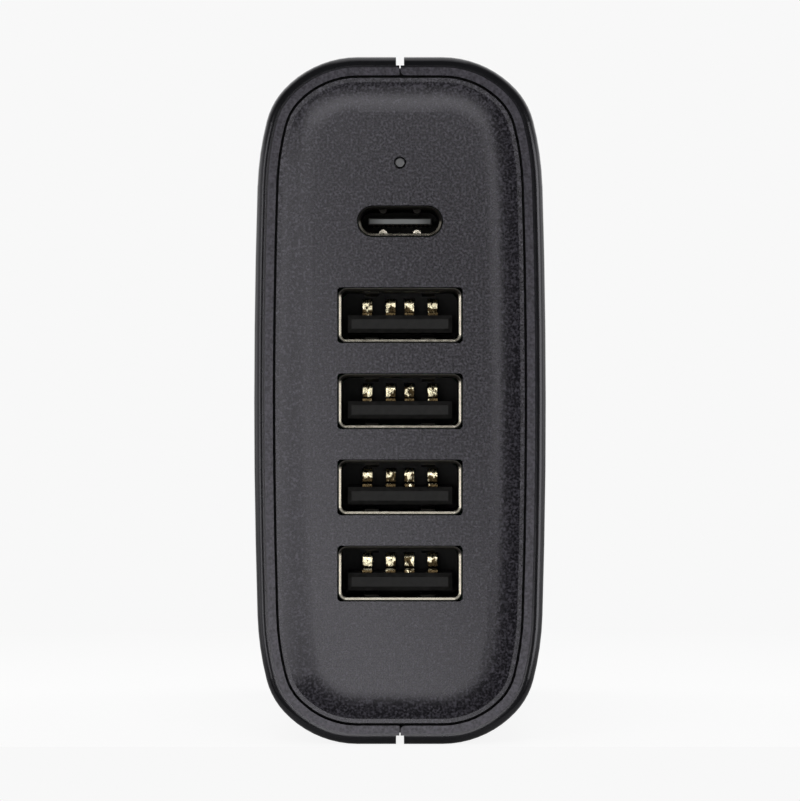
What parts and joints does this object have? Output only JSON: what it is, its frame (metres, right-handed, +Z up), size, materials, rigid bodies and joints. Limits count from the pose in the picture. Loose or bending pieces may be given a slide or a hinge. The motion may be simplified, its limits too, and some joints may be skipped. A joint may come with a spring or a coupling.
{
  "type": "multi-port usb desktop charger",
  "caption": "Tall narrow desktop charger: two moulded casing halves, a pillowed port panel with a status light, a USB-C port over a column of USB-A ports, and a mains inlet behind.",
  "frame": {"origin": "under the middle of the body, on the flat strip that it stands on", "axes": "+Z up, ports face -Y, mains inlet faces +Y, +X to the right of someone who faces the ports"},
  "size_m": [0.031, 0.1, 0.073],
  "materials": {
    "casing": "fine-grained dark grey moulded plastic",
    "panel": "fine-grained dark grey moulded plastic, a little lighter",
    "light_pipe": "frosted clear acrylic",
    "port_steel": "plated folded sheet",
    "port_plastic": "black moulded insert",
    "contact_metal": "gold-flashed spring metal",
    "circuit_board": "green solder mask",
    "inlet_plastic": "black moulded socket",
    "pin_metal": "bright nickel plate",
    "white_plastic": "white moulding",
    "yellow_box": "yellow film-capacitor box",
    "ferrite": "sintered ferrite",
    "copper": "enamelled copper wire",
    "chip_plastic": "black moulding compound",
    "winding_tape": "yellow polyester tape",
    "heatsink": "plain folded sheet",
    "blue_ceramic": "dipped ceramic disc",
    "can_sleeve": "shrink sleeve over an aluminium can",
    "can_aluminium": "bare polymer-capacitor can"
  },
  "bodies": {
    "root": {"bridge_rectifier": "chip_plastic", "bulk_capacitor_1": "can_sleeve", "bulk_capacitor_2": "can_sleeve", "choke_core": "ferrite", "choke_windings": "copper", "controller_chip": "chip_plastic", "fuse": "port_plastic", "inductor_1": "ferrite", "inductor_2": "ferrite", "inlet_body": "inlet_plastic", "inlet_pins": "pin_metal", "left_shell": "casing", "light_pipe": "light_pipe", "link_header": "port_plastic", "link_pins": "contact_metal", "main_board": "circuit_board", "optocoupler": "white_plastic", "output_capacitor_1": "can_aluminium", "output_capacitor_2": "can_aluminium", "output_capacitor_3": "can_aluminium", "output_capacitor_4": "can_aluminium", "port_board": "circuit_board", "port_controller_1": "chip_plastic", "port_controller_2": "chip_plastic", "port_panel": "panel", "primary_heatsink": "heatsink", "primary_switch": "chip_plastic", "rectifier": "chip_plastic", "right_shell": "casing", "secondary_heatsink": "heatsink", "status_led": "white_plastic", "transformer_bobbin": "chip_plastic", "transformer_core": "ferrite", "transformer_pins": "pin_metal", "transformer_winding": "winding_tape", "usb_a_contacts_1": "contact_metal", "usb_a_contacts_2": "contact_metal", "usb_a_contacts_3": "contact_metal", "usb_a_contacts_4": "contact_metal", "usb_a_insert_1": "port_plastic", "usb_a_insert_2": "port_plastic", "usb_a_insert_3": "port_plastic", "usb_a_insert_4": "port_plastic", "usb_a_shell_1": "port_steel", "usb_a_shell_2": "port_steel", "usb_a_shell_3": "port_steel", "usb_a_shell_4": "port_steel", "usb_c_contacts": "contact_metal", "usb_c_insert": "port_plastic", "usb_c_shell": "port_steel", "x_capacitor": "yellow_box", "y_capacitor": "blue_ceramic"}
  },
  "joints": []
}
